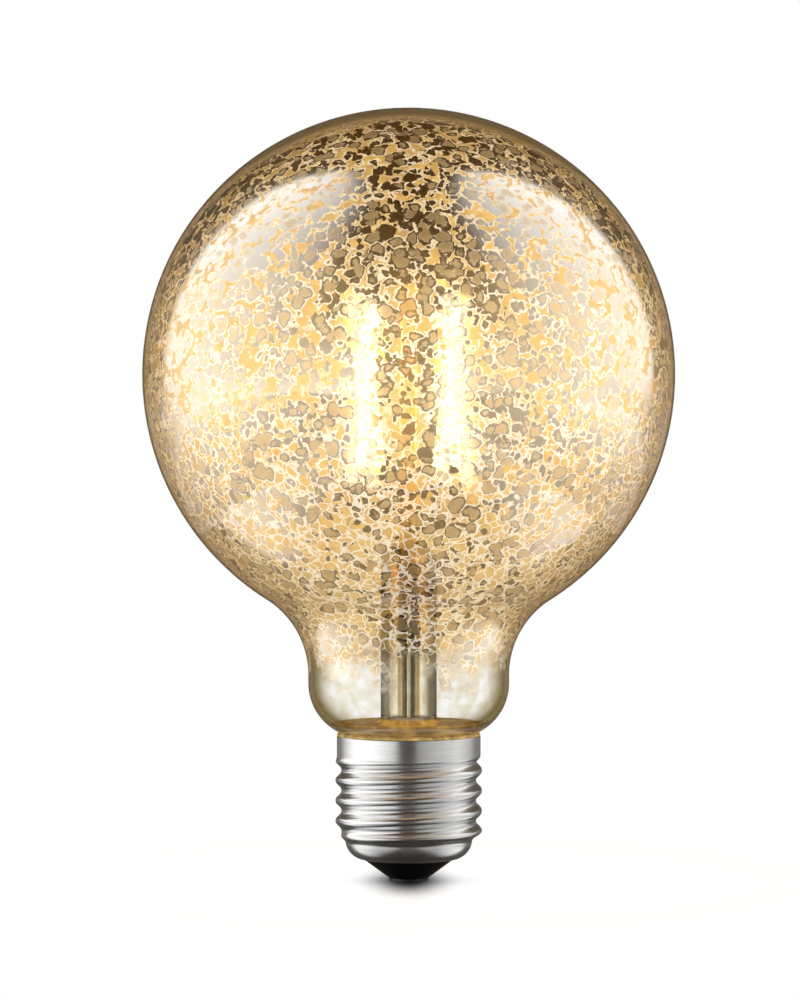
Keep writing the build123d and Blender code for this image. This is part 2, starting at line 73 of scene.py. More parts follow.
class Graph:
    """Small builder for the shader nodes of one node tree."""

    # Input and output numbers of a Mix node, which has one set of ports for each type.
    MIX_PORTS = {"FLOAT": (2, 3, 0), "RGBA": (6, 7, 2)}
    GLASS_HEAD_ON = 0.04
    GLASS_RISE = 5.0
    STREAKS_PER_RADIAN = 4.0
    STREAKS_PER_MM = 0.3
    STREAK_LIMITS = (0.35, 0.65)

    def __init__(self, tree: bpy.types.NodeTree) -> None:
        """Start with an empty tree.

        Args:
            tree: Node tree, which is emptied.
        """
        self.tree = tree
        tree.nodes.clear()

    def add(self, kind: str, settings: dict[str, object] | None = None, **inputs: Value) -> Node:
        """Add a node and fill its inputs.

        Args:
            kind: Blender node type, without the word ShaderNode.
            settings: Node properties to set.
            **inputs: Input values or sockets, spaces in the names written as underscores.

        Returns:
            The new node.
        """
        node = self.tree.nodes.new("ShaderNode" + kind)
        for key, value in (settings or {}).items():
            setattr(node, key, value)
        for key, value in inputs.items():
            self.put(node.inputs[key.replace("_", " ")], value)
        return node

    def put(self, socket: Socket, value: Value) -> None:
        """Link a socket or set its value.

        Args:
            socket: Input socket.
            value: Output socket, colour or number.
        """
        if isinstance(value, Socket):
            self.tree.links.new(value, socket)
        elif socket.type == "RGBA":
            socket.default_value = (*value, 1.0)
        else:
            socket.default_value = value

    def math(self, operation: str, a: Value, b: Value = 0.0, clamp: bool = False) -> Socket:
        """Combine two numbers.

        Args:
            operation: Math operation.
            a: First number or socket.
            b: Second number or socket.
            clamp: Keep the result between 0 and 1.

        Returns:
            The result socket.
        """
        node = self.add("Math", {"operation": operation, "use_clamp": clamp})
        self.put(node.inputs[0], a)
        self.put(node.inputs[1], b)
        return node.outputs[0]

    def times(self, *values: Value) -> Socket:
        """Multiply numbers.

        Args:
            *values: Numbers or sockets, two or more.

        Returns:
            The product socket.
        """
        product = values[0]
        for value in values[1:]:
            product = self.math("MULTIPLY", product, value)
        return product

    def vector(self, operation: str, *values: Value) -> Socket:
        """Combine vectors.

        Args:
            operation: Vector math operation.
            *values: Vectors or sockets, in the order of the node's inputs.

        Returns:
            The result socket, which is a number for a length.
        """
        node = self.add("VectorMath", {"operation": operation})
        for socket, value in zip(node.inputs, values):
            self.put(socket, value)
        return node.outputs["Value" if operation == "LENGTH" else "Vector"]

    def step(self, value: Socket, *limits: float, kind: str = "SMOOTHSTEP") -> Socket:
        """Smooth step of a value between two limits.

        Args:
            value: Socket to map.
            *limits: The two limits, and the results there if they aren't 0 and 1.
            kind: Interpolation between the limits.

        Returns:
            The mapped socket.
        """
        node = self.add("MapRange", {"interpolation_type": kind}, Value=value)
        for name, limit in zip(("From Min", "From Max", "To Min", "To Max"), limits):
            node.inputs[name].default_value = limit
        return node.outputs[0]

    def ramp(self, value: Socket, *limits: float) -> Socket:
        """Straight ramp of a value between two limits.

        Args:
            value: Socket to map.
            *limits: As for a step.

        Returns:
            The mapped socket.
        """
        return self.step(value, *limits, kind="LINEAR")

    def mix(self, share: Value, a: Value, b: Value) -> Socket:
        """Mix two numbers or two colours.

        Args:
            share: Share of the second one.
            a: First number, colour or socket.
            b: Second number, colour or socket.

        Returns:
            The mixed socket.
        """
        colour = any(isinstance(v, tuple) or getattr(v, "type", "") == "RGBA" for v in (a, b))
        kind = "RGBA" if colour else "FLOAT"
        first, second, result = self.MIX_PORTS[kind]
        node = self.add("Mix", {"data_type": kind})
        self.put(node.inputs[0], share)
        self.put(node.inputs[first], a)
        self.put(node.inputs[second], b)
        return node.outputs[result]

    def blend(self, share: Value, first: Node, second: Node) -> Socket:
        """Mix two shaders.

        Args:
            share: Share of the second one.
            first: First shader node.
            second: Second shader node.

        Returns:
            The mixed shader socket.
        """
        node = self.add("MixShader", Fac=share)
        self.put(node.inputs[1], first.outputs[0])
        self.put(node.inputs[2], second.outputs[0])
        return node.outputs[0]

    def place(self, unit: float = MM) -> Socket:
        """Object coordinates.

        Args:
            unit: Length of one unit in metres.

        Returns:
            Vector socket.
        """
        coords = self.add("TexCoord").outputs["Object"]
        return self.add("VectorMath", {"operation": "SCALE"}, Vector=coords, Scale=1 / unit).outputs[0]

    def split(self, position: Socket) -> bpy.types.NodeOutputs:
        """Three parts of a position.

        Args:
            position: Vector socket.

        Returns:
            Sockets named X, Y and Z.
        """
        return self.add("SeparateXYZ", Vector=position).outputs

    def reach(self, position: Socket, scale: Colour = WHITE) -> Socket:
        """Distance from the origin, with the axes scaled first.

        Args:
            position: Vector socket.
            scale: Factor on each axis.

        Returns:
            Number socket.
        """
        return self.vector("LENGTH", self.vector("MULTIPLY", position, scale))

    def noise(self, position: Socket, size: float, detail: float = 2.0, port: str = "Fac") -> Socket:
        """Noise whose blobs are about the given size.

        Args:
            position: Vector socket in millimetres.
            size: Blob size in millimetres.
            detail: Octaves.
            port: Output of the noise node.

        Returns:
            Number or colour socket.
        """
        node = self.add("TexNoise", Vector=position, Scale=1.0 / size, Detail=detail)
        return node.outputs[port]

    def warp(self, position: Socket, size: float, reach: float) -> Socket:
        """Shift a position by noise.

        Args:
            position: Vector socket in millimetres.
            size: Size of the noise in millimetres.
            reach: Largest shift in millimetres, about.

        Returns:
            The shifted vector socket.
        """
        noise = self.noise(position, size, detail=1.0, port="Color")
        shift = self.vector("SUBTRACT", noise, (0.5, 0.5, 0.5))
        return self.vector("MULTIPLY_ADD", shift, (2 * reach,) * 3, position)

    def streaked(self, position: Socket, dark: Colour, light: Colour) -> Socket:
        """Two colours in streaks that run along the axis.

        Args:
            position: Vector socket in millimetres.
            dark: First colour.
            light: Second colour.

        Returns:
            Colour socket.
        """
        place = self.split(position)
        turn = self.times(self.math("ARCTAN2", place["Y"], place["X"]), self.STREAKS_PER_RADIAN)
        flat = self.add("CombineXYZ", X=turn, Y=self.times(place["Z"], self.STREAKS_PER_MM))
        streaks = self.noise(flat.outputs[0], size=1.0, detail=1.0)
        return self.mix(self.step(streaks, *self.STREAK_LIMITS), dark, light)

    def facing(self) -> Socket:
        """How far glass turns its edge: 0 head-on, 1 edge-on.

        Returns:
            Number socket.
        """
        return self.add("LayerWeight", Blend=0.5).outputs["Facing"]

    def grazing(self) -> Socket:
        """Share of light that plain glass reflects, the same from both sides.

        Returns:
            Number socket.
        """
        rise = self.math("POWER", self.facing(), self.GLASS_RISE)
        rise = self.times(rise, 1 - self.GLASS_HEAD_ON)
        return self.math("ADD", rise, self.GLASS_HEAD_ON)


class MaterialGraph(Graph):
    """Builder for one material."""

    def __init__(self, name: str, lamp: bool = False) -> None:
        """Start an empty material.

        Args:
            name: Name of the material.
            lamp: Whether the material's glow is sampled as a light.
        """
        self.material = bpy.data.materials.new(name)
        self.material.use_nodes = True
        self.material.cycles.emission_sampling = "AUTO" if lamp else "NONE"
        super().__init__(self.material.node_tree)

    def finish(self, shader: Socket) -> Material:
        """Connect the shader to the output.

        Args:
            shader: Surface shader.

        Returns:
            The finished material.
        """
        self.add("OutputMaterial", Surface=shader)
        return self.material


@dataclass(frozen=True)
class PlainFinish:
    """One-colour finish with a little cloudiness in its colour and gloss."""

    name: str
    colour: Colour
    roughness: float
    metallic: float = 0.0
    cloud: float = 0.12
    grain: float = 1.6
    specular: float = 0.5
    octaves: float = 3.0
    tone_limits: Pair = (0.3, 0.7)
    gloss_limits: Pair = (0.25, 0.75)
    gloss_spread: float = 0.15

    def material(self) -> Material:
        """Build the material.

        Returns:
            The material.
        """
        g = MaterialGraph(self.name)
        cloud = g.noise(g.place(), self.grain, self.octaves)
        dark = tuple(c * (1 - self.cloud) for c in self.colour)
        light = tuple(min(1.0, c * (1 + self.cloud)) for c in self.colour)
        smooth = self.roughness * (1 - self.gloss_spread)
        rough = min(1.0, self.roughness * (1 + self.gloss_spread))
        body = g.add(
            "BsdfPrincipled",
            Base_Color=g.mix(g.step(cloud, *self.tone_limits), dark, light),
            Metallic=self.metallic,
            Roughness=g.step(cloud, *self.gloss_limits, smooth, rough),
            Specular_IOR_Level=self.specular,
        )
        return g.finish(body.outputs[0])


@dataclass(frozen=True)
class CoatPattern:
    """Sockets that say where each layer of the mirror coat shows."""

    graph: MaterialGraph
    crown: Socket
    coat: Socket
    bare: Socket
    rim: Socket
    ragged: Socket
    line: Socket
    heart: Socket
    mirror: Socket

    def pick(self, film: Value, clear: Value, crack: Value, heart: Value, mirror: Value) -> Socket:
        """Value of the layer that shows.

        Args:
            film: Amber film between the cells.
            clear: Bare glass.
            crack: Pale line round a cell.
            heart: Open middle of a cell.
            mirror: Silvered part of a cell.

        Returns:
            Number or colour socket.
        """
        g = self.graph
        value = g.mix(self.line, g.mix(self.bare, film, clear), crack)
        return g.mix(self.mirror, g.mix(self.heart, value, heart), mirror)


@dataclass(frozen=True)
class MirrorCoat:
    """Mottled gold mirror coat on thin glass, fading to clear glass at the neck. Its glow is painted
    light:
    the bars' light scattered through the coat. Its brown rim is painted shade, in part the longer path
    through the coat, and the dark edges of its bare glass are painted shade.

    Sizes and heights are in millimetres. A Step is two limits and the results there; heights and limits
    are two limits only. Pairs of glow, metal and heart share are for the globe and for its crown, the
    glass's roughness is for bare glass and for the seal, the mirror's for its front and its back.
    """

    name: str = "mirror_coat"
    amber: Colour = (1.0, 0.68, 0.24)
    amber_through: Colour = (0.95, 0.68, 0.26)
    # Painted shade: brown that the coat turns at the globe's edge and in a wider band over its top, in
    # part the longer path through the coat.
    rim: Colour = (0.40, 0.31, 0.19)
    cream: Colour = (1.0, 0.93, 0.78)
    straw: Colour = (1.0, 0.85, 0.56)
    silver: Colour = (0.90, 0.88, 0.85)
    gilt: Colour = (1.0, 0.80, 0.46)
    leak: Colour = (0.85, 0.60, 0.30)
    champagne: Colour = (0.95, 0.85, 0.66)
    honey: Colour = (1.0, 0.74, 0.34)
    tan: Colour = (0.90, 0.60, 0.24)
    brown: Colour = (0.50, 0.34, 0.16)
    gloss: Colour = (0.95, 0.95, 0.95)
    glass: Colour = (0.90, 0.86, 0.76)
    # Painted shade: bare glass seen through darkens towards its edge.
    glass_edge_shade: Colour = (0.52, 0.45, 0.29)
    seal: Colour = (0.95, 0.58, 0.16)
    seal_dark: Colour = (0.45, 0.27, 0.08)

    crown_heights: Pair = (98.0, 116.0)
    patch_size: float = 2.4
    patch_share: Step = (50.0, 100.0, 0.64, 0.94)
    fleck_size: float = 1.25
    fleck_share: Step = (58.0, 90.0, 0.22, 0.60)
    cell_reach: float = 0.30
    cell_spread: float = 0.36
    no_cell: float = 10.0
    bend_coarse: Pair = (3.0, 1.1)
    bend_fine: Pair = (0.9, 0.3)
    ragged_size: float = 0.55
    ragged_reach: float = 0.5
    crown_growth: float = 0.10
    edge_limits: Pair = (0.0, 0.07)
    ring_width: Step = (60.0, 85.0, 0.12, 0.22)
    heart_share: Pair = (0.90, 0.70)
    heart_limits: Pair = (0.0, 0.5)
    crack_limits: Pair = (-0.32, -0.17)
    mesh_size: float = 1.9
    mesh_limits: Pair = (0.09, 0.04)
    mesh_heights: Pair = (92.0, 76.0)
    worn_size: float = 6.0
    worn_share: Step = (0.25, 0.5, 0.5, 1.0)
    torn_size: float = 4.0
    torn_reach: float = 24.0
    fade_heights: Pair = (36.5, 42.5)
    # Painted shade: the brown rim band at the edge, wider over the top, and the darkening towards the
    # edge.
    rim_shade_growth: Step = (118.0, 134.0, 0.0, 0.12)
    rim_shade_limits: Pair = (0.77, 0.92)
    edge_shade: Step = (0.38, 0.82, 0.0, 0.85)
    crack_shade: float = 0.8
    pale_share: Step = (50.0, 80.0, 0.25, 0.0)

    # Painted light: glow of film, cracks, hearts and mirror stands in for the bars' light scattered
    # through the coat; the halo is a band of it at the bars' height.
    film_glow: Pair = (0.18, 0.288)
    crack_glow: Pair = (0.36, 0.26)
    heart_glow: Pair = (0.144, 0.11)
    halo_height: float = 92.0
    halo_glow: Step = (28.0, 4.0, 0.0, 0.26)
    mirror_halo: float = 0.6

    film_metal: float = 0.15
    heart_metal: Pair = (0.52, 0.72)
    mirror_metal: Pair = (0.82, 0.96)
    film_rough: float = 0.32
    glass_rough: Pair = (0.04, 0.3)
    crack_rough: float = 0.5
    heart_rough: float = 0.3
    mirror_rough: Pair = (0.12, 0.55)
    crack_pass: float = 0.2
    body_ior: float = 1.2
    coat_ior: float = 2.9
    coat_rough: float = 0.02

    stain_size: float = 2.6
    stain_limits: Pair = (0.35, 0.65)
    glass_edge_limits: Pair = (0.3, 0.68)
    seal_heights: Pair = (28.6, 27.4)

    film_cover: float = 0.48
    glass_cover: float = 0.7
    seal_cover: float = 0.75
    crack_cover: float = 0.75
    heart_cover: float = 0.72
    mirror_cover: Step = (62.0, 84.0, 0.78, 0.85)
    crown_cover: float = 0.97
    ragged_cover: float = 0.1

    def cells(
        self, g: MaterialGraph, position: Socket, size: float, share: Socket
    ) -> tuple[Socket, Socket]:
        """Round patches in some cells of a cell pattern.

        Args:
            g: Material builder.
            position: Vector socket in millimetres.
            size: Cell size in millimetres.
            share: Share of the cells with a patch.

        Returns:
            Depth inside the patch's edge in millimetres, and a random number per cell.
        """
        cell = g.add("TexVoronoi", Vector=position, Scale=1.0 / size)
        random = g.add("SeparateColor", Color=cell.outputs["Color"]).outputs
        empty = g.math("GREATER_THAN", random[0], share)
        reach = g.math("ADD", g.times(random[1], self.cell_spread), self.cell_reach)
        depth = g.times(g.math("SUBTRACT", reach, cell.outputs["Distance"]), size)
        return g.math("SUBTRACT", depth, g.times(empty, self.no_cell)), random[2]

    def pattern(self, g: MaterialGraph, position: Socket, z: Socket, facing: Socket) -> CoatPattern:
        """Lay out the cells, their open hearts, the cracks and the torn lower edge of the coat.

        Args:
            g: Material builder.
            position: Vector socket in millimetres.
            z: Height in millimetres.
            facing: How far the glass turns its edge.

        Returns:
            The pattern.
        """
        crown = g.step(z, *self.crown_heights)
        bent = g.warp(g.warp(position, *self.bend_coarse), *self.bend_fine)
        large, kind = self.cells(g, bent, self.patch_size, g.step(z, *self.patch_share))
        small, _ = self.cells(g, bent, self.fleck_size, g.step(z, *self.fleck_share))
        ragged = g.math("SUBTRACT", g.noise(position, self.ragged_size, detail=1.0), 0.5)
        edge = g.times(ragged, self.ragged_reach)
        edge = g.math("ADD", edge, g.times(crown, self.crown_growth))
        depth = g.math("ADD", g.math("MAXIMUM", large, small), edge)

        torn = g.math("SUBTRACT", g.noise(position, self.torn_size, detail=3.0), 0.5)
        torn = g.math("ADD", z, g.times(torn, self.torn_reach))
        coat = g.step(torn, *self.fade_heights)
        # Painted shade, in part the longer path through the coat: rim band at the edge, wider over the
        # top, where the pattern fades to brown.
        rim = g.step(g.math("ADD", facing, g.step(z, *self.rim_shade_growth)), *self.rim_shade_limits)
        seen = g.times(coat, g.math("SUBTRACT", 1.0, rim))

        patch = g.times(g.step(depth, *self.edge_limits), seen)
        inward = g.math("SUBTRACT", g.math("ADD", large, edge), g.step(z, *self.ring_width))
        hollow = g.math("LESS_THAN", kind, g.mix(crown, *self.heart_share))
        heart = g.times(hollow, patch, g.step(inward, *self.heart_limits))

        net = {"feature": "DISTANCE_TO_EDGE"}
        mesh = g.add("TexVoronoi", net, Vector=bent, Scale=1.0 / self.mesh_size).outputs["Distance"]
        mesh_line = g.times(g.step(mesh, *self.mesh_limits), g.step(z, *self.mesh_heights))
        worn = g.step(g.noise(position, self.worn_size, detail=0.0), *self.worn_share)
        line = g.times(g.step(depth, *self.crack_limits), worn)
        line = g.times(g.math("MAXIMUM", line, mesh_line), seen)
        bare, mirror = g.math("SUBTRACT", 1.0, coat), g.math("SUBTRACT", patch, heart, clamp=True)
        return CoatPattern(g, crown, coat, bare, rim, ragged, line, heart, mirror)

    def cover(self, layers: CoatPattern, z: Socket, sealed: Socket) -> Socket:
        """Share of the surface that isn't seen through.

        Args:
            layers: Pattern of the coat.
            z: Height in millimetres.
            sealed: Where the golden seal shows.

        Returns:
            Number socket.
        """
        g = layers.graph
        solid = g.mix(layers.crown, g.step(z, *self.mirror_cover), self.crown_cover)
        solid = g.math("SUBTRACT", solid, g.times(layers.ragged, self.ragged_cover))
        clear = g.mix(sealed, g.times(g.grazing(), self.glass_cover), self.seal_cover)
        return layers.pick(self.film_cover, clear, self.crack_cover, self.heart_cover, solid)

    def material(self) -> Material:
        """Build the material.

        Returns:
            The material.
        """
        g = MaterialGraph(self.name)
        position, facing = g.place(), g.facing()
        z = g.split(position)["Z"]
        layers = self.pattern(g, position, z, facing)
        crown = layers.crown
        back = g.add("NewGeometry").outputs["Backfacing"]
        sealed = g.step(z, *self.seal_heights)
        clear = g.mix(sealed, self.gloss, g.streaked(position, self.seal_dark, self.seal))
        mirror = g.mix(back, self.silver, self.gilt)

        # Painted shade: amber and cream turn brown towards the edge and in the rim band.
        shade = g.math("MAXIMUM", layers.rim, g.step(facing, *self.edge_shade))
        pale = g.step(z, *self.pale_share)
        amber = g.mix(shade, g.mix(pale, self.amber, self.cream), self.rim)
        amber_through = g.mix(shade, g.mix(pale, self.amber_through, self.cream), self.rim)
        cream = g.mix(crown, self.cream, self.straw)
        cream = g.mix(g.times(shade, self.crack_shade), cream, self.amber)

        # Painted light: the bars' light through the coat as glow, strongest in a band at their height,
        # dimmed by the painted edge shade.
        level = g.math("ABSOLUTE", g.math("SUBTRACT", z, self.halo_height))
        halo = g.times(layers.coat, g.step(level, *self.halo_glow))
        glow = layers.pick(
            g.math("ADD", g.mix(crown, *self.film_glow), halo),
            0.0,
            g.math("ADD", g.mix(crown, *self.crack_glow), halo),
            g.math("ADD", g.mix(crown, *self.heart_glow), halo),
            g.times(halo, self.mirror_halo),
        )
        body = g.add(
            "BsdfPrincipled",
            Base_Color=layers.pick(amber, clear, cream, self.champagne, mirror),
            Metallic=layers.pick(
                self.film_metal,
                g.math("SUBTRACT", 1.0, sealed),
                0.0,
                g.mix(crown, *self.heart_metal),
                g.mix(crown, *self.mirror_metal),
            ),
            Roughness=layers.pick(
                self.film_rough,
                g.mix(sealed, *self.glass_rough),
                self.crack_rough,
                self.heart_rough,
                g.mix(back, *self.mirror_rough),
            ),
            IOR=self.body_ior,
            Transmission_Weight=layers.pick(1.0, 0.0, self.crack_pass, 1.0, 1.0),
            Coat_Weight=1.0,
            Coat_IOR=self.coat_ior,
            Coat_Roughness=self.coat_rough,
            Emission_Color=layers.pick(
                g.mix(halo, self.honey, self.straw), BLACK, self.cream, self.honey, self.honey
            ),
            Emission_Strength=g.times(glow, g.math("SUBTRACT", 1.0, shade)),
        )

        stain = g.step(g.noise(position, self.stain_size, detail=1.0), *self.stain_limits)
        clear = g.mix(stain, WHITE, self.glass)
        # Painted shade: bare glass seen through darkens towards its edge.
        clear = g.mix(g.step(facing, *self.glass_edge_limits), clear, self.glass_edge_shade)
        tan = g.mix(crown, self.tan, self.brown)
        tint = layers.pick(amber_through, clear, cream, tan, self.leak)
        through = g.add("BsdfTransparent", Color=tint)
        return g.finish(g.blend(self.cover(layers, z, sealed), through, body))


@dataclass(frozen=True)
class ThinGlass:
    """Inside face of the globe's glass: clear, with faint streaks in its gloss."""

    name: str = "thin_glass"
    gloss: Colour = (0.95, 0.95, 0.95)
    clear: Colour = (0.985, 0.99, 0.985)
    cloud_size: float = 6.0
    roughness: Step = (0.2, 0.8, 0.01, 0.05)
    gloss_share: float = 0.3

    def material(self) -> Material:
        """Build the material.

        Returns:
            The material.
        """
        g = MaterialGraph(self.name)
        cloud = g.noise(g.place(), self.cloud_size)
        gloss = g.add(
            "BsdfPrincipled",
            Base_Color=self.gloss,
            Metallic=1.0,
            Roughness=g.step(cloud, *self.roughness),
        )
        through = g.add("BsdfTransparent", Color=self.clear)
        return g.finish(g.blend(g.times(g.grazing(), self.gloss_share), through, gloss))


@dataclass(frozen=True)
class StemGlass:
    """Drawn glass of the stem with a golden seal at its foot. Its warm tint, darker golden core and
    golden upper part are painted reflection of the gold coat, the darker core painted shade too; its
    dark tube edges are painted shade, and the glow on the seal and on the rod is painted light.

    Radii and heights are in millimetres.
    """

    name: str = "stem_glass"
    # Painted reflection: warm tint, darker golden core and golden upper part stand in for the gold coat
    # seen in clear glass; the darker core is painted shade too.
    colour: Colour = (0.98, 0.94, 0.84)
    # Painted shade: near black tube edges.
    edge: Colour = (0.05, 0.04, 0.02)
    core: Colour = (0.46, 0.33, 0.14)
    high: Colour = (1.0, 0.74, 0.30)
    seal: Colour = (0.95, 0.60, 0.18)
    seal_dark: Colour = (0.52, 0.29, 0.06)
    # Painted light: faint glow of the golden seal.
    seal_glow: float = 0.08
    ior: float = 1.5
    core_radius: float = 2.2
    tube_radius: float = 4.6
    high_heights: Pair = (44.0, 58.0)
    # Painted light: the rod glows with the bars' light, from 58 to 82 mm up.
    rod_glow: Step = (58.0, 82.0, 0.0, 1.1)
    seal_heights: Pair = (29.6, 28.6)
    edge_limits: Pair = (0.08, 0.32)
    cloud_size: float = 3.0
    cloud_depth: float = 0.03
    roughness: Step = (0.2, 0.8, 0.0, 0.03)

    def material(self) -> Material:
        """Build the material.

        Returns:
            The material.
        """
        g = MaterialGraph(self.name)
        position = g.place()
        z = g.split(position)["Z"]
        radius = g.reach(position, (1.0, 1.0, 0.0))
        cloud = g.noise(position, self.cloud_size)
        dark = tuple(c * (1 - self.cloud_depth) for c in self.colour)
        # Painted reflection and shade: golden upper part and darker golden core.
        tone = g.mix(g.step(z, *self.high_heights), g.mix(cloud, dark, self.colour), self.high)
        tone = g.mix(g.math("LESS_THAN", radius, self.core_radius), tone, self.core)
        # Painted shade: the tube darkens towards black at its turned-away edges.
        side = g.math("GREATER_THAN", radius, self.tube_radius)
        side = g.times(side, g.step(g.facing(), *self.edge_limits))
        tone = g.mix(side, tone, self.edge)
        sealed = g.step(z, *self.seal_heights)
        tone = g.mix(sealed, tone, g.streaked(position, self.seal_dark, self.seal))
        # Painted light: glow on the seal and on the glass above the pinch, the rod.
        lit = g.step(z, *self.rod_glow)
        glass = g.add(
            "BsdfPrincipled",
            Base_Color=tone,
            Roughness=g.step(cloud, *self.roughness),
            IOR=self.ior,
            Transmission_Weight=g.math("SUBTRACT", 1.0, sealed),
            Emission_Color=tone,
            Emission_Strength=g.math("ADD", g.times(sealed, self.seal_glow), lit),
        )
        clear = g.add("BsdfTransparent", Color=self.colour)
        return g.finish(g.blend(g.add("LightPath").outputs["Is Shadow Ray"], glass, clear))


@dataclass(frozen=True)
class LitPhosphor:
    """Yellow phosphor bar, lit; brighter over its chips."""

    name: str = "lit_phosphor"
    glow: Colour = (1.0, 0.86, 0.60)
    strength: float = 6.5
    dim: float = 0.7
    chips_per_mm: float = 0.9
    over_chip: Colour = (1.0, 0.78, 0.25)
    between: Colour = (0.95, 0.66, 0.16)
    roughness: float = 0.5

    def material(self) -> Material:
        """Build the material.

        Returns:
            The material.
        """
        g = MaterialGraph(self.name, lamp=True)
        cell = g.add("TexVoronoi", Vector=g.place(), Scale=self.chips_per_mm)
        chips = cell.outputs["Distance"]
        body = g.add(
            "BsdfPrincipled",
            Base_Color=g.mix(chips, self.over_chip, self.between),
            Roughness=self.roughness,
            Emission_Color=self.glow,
            Emission_Strength=g.step(chips, 0.0, 1.0, self.strength, self.strength * self.dim),
        )
        return g.finish(body.outputs[0])


@dataclass(frozen=True)
class RolledAluminium:
    """Satin rolled sheet with fine turning lines and faint smudges."""

    name: str = "rolled_aluminium"
    colour: Colour = (0.92, 0.93, 0.945)
    line_depth: float = 0.07
    line_squeeze: Colour = (0.12, 0.12, 3.0)
    smudge_size: float = 5.0
    octaves: float = 3.0
    line_limits: Pair = (0.3, 0.7)
    metallic: float = 0.97
    roughness: Step = (0.3, 0.7, 0.20, 0.27)

    def material(self) -> Material:
        """Build the material.

        Returns:
            The material.
        """
        g = MaterialGraph(self.name)
        position = g.place()
        squeezed = g.vector("MULTIPLY", position, self.line_squeeze)
        lines = g.noise(squeezed, 1.0, self.octaves)
        smudge = g.noise(position, self.smudge_size, self.octaves)
        dark = tuple(c * (1 - self.line_depth) for c in self.colour)
        body = g.add(
            "BsdfPrincipled",
            Base_Color=g.mix(g.step(lines, *self.line_limits), dark, self.colour),
            Metallic=self.metallic,
            Roughness=g.step(smudge, *self.roughness),
        )
        return g.finish(body.outputs[0])


def round_angles(segments: int) -> list[float]:
    """Angles of even steps round the axis.

    Args:
        segments: Number of steps.

    Returns:
        Angles in radians.
    """
    return [2 * math.pi * i / segments for i in range(segments)]


def circles(profile: Profile, segments: int) -> list[Ring]:
    """Rings of a profile that is the same all round.

    Args:
        profile: Radius and height pairs in millimetres; a zero radius is a pole.
        segments: Steps round the axis.

    Returns:
        The rings.
    """
    return [([radius] * (segments if radius > POLE_RADIUS else 1), z) for radius, z in profile]


def ring_mesh(name: str, rings: Sequence[Ring]) -> Piece:
    """Smooth mesh over rings round the Z axis.

    Args:
        name: Object name.
        rings: Radii round the axis and height, in millimetres; a single radius is a pole.

    Returns:
        The new object.
    """
    segments = max(len(radii) for radii, _ in rings)
    verts: list[tuple[float, float, float]] = []
    starts: list[tuple[int, int]] = []
    for radii, z in rings:
        starts.append((len(verts), len(radii)))
        for angle, radius in zip(round_angles(segments), radii):
            r = radius * MM
            verts.append((r * math.cos(angle), r * math.sin(angle), z * MM))
    faces: list[tuple[int, ...]] = []
    for (first, first_count), (second, second_count) in zip(starts, starts[1:]):
        for i in range(segments):
            j = (i + 1) % segments
            if first_count == 1:
                faces.append((first, second + i, second + j))
            elif second_count == 1:
                faces.append((first + i, second, first + j))
            else:
                faces.append((first + i, second + i, second + j, first + j))
    mesh = bpy.data.meshes.new(name)
    mesh.from_pydata(verts, [], faces)
    mesh.polygons.foreach_set("use_smooth", [True] * len(faces))
    mesh.update()
    piece = bpy.data.objects.new(name, mesh)
    bpy.context.scene.collection.objects.link(piece)
    return piece


def arc(centre: Pair, radius: float, start: float, end: float, steps: int) -> Profile:
    """Points of a circular arc in the half section.

    Args:
        centre: Radius and height of the arc's centre.
        radius: Arc radius.
        start: First angle in degrees.
        end: Last angle in degrees.
        steps: Number of steps.

    Returns:
        The points, both ends included.
    """
    angles = [math.radians(start + (end - start) * i / steps) for i in range(steps + 1)]
    r, z = centre
    return [(max(0.0, r + radius * math.cos(a)), z + radius * math.sin(a)) for a in angles]


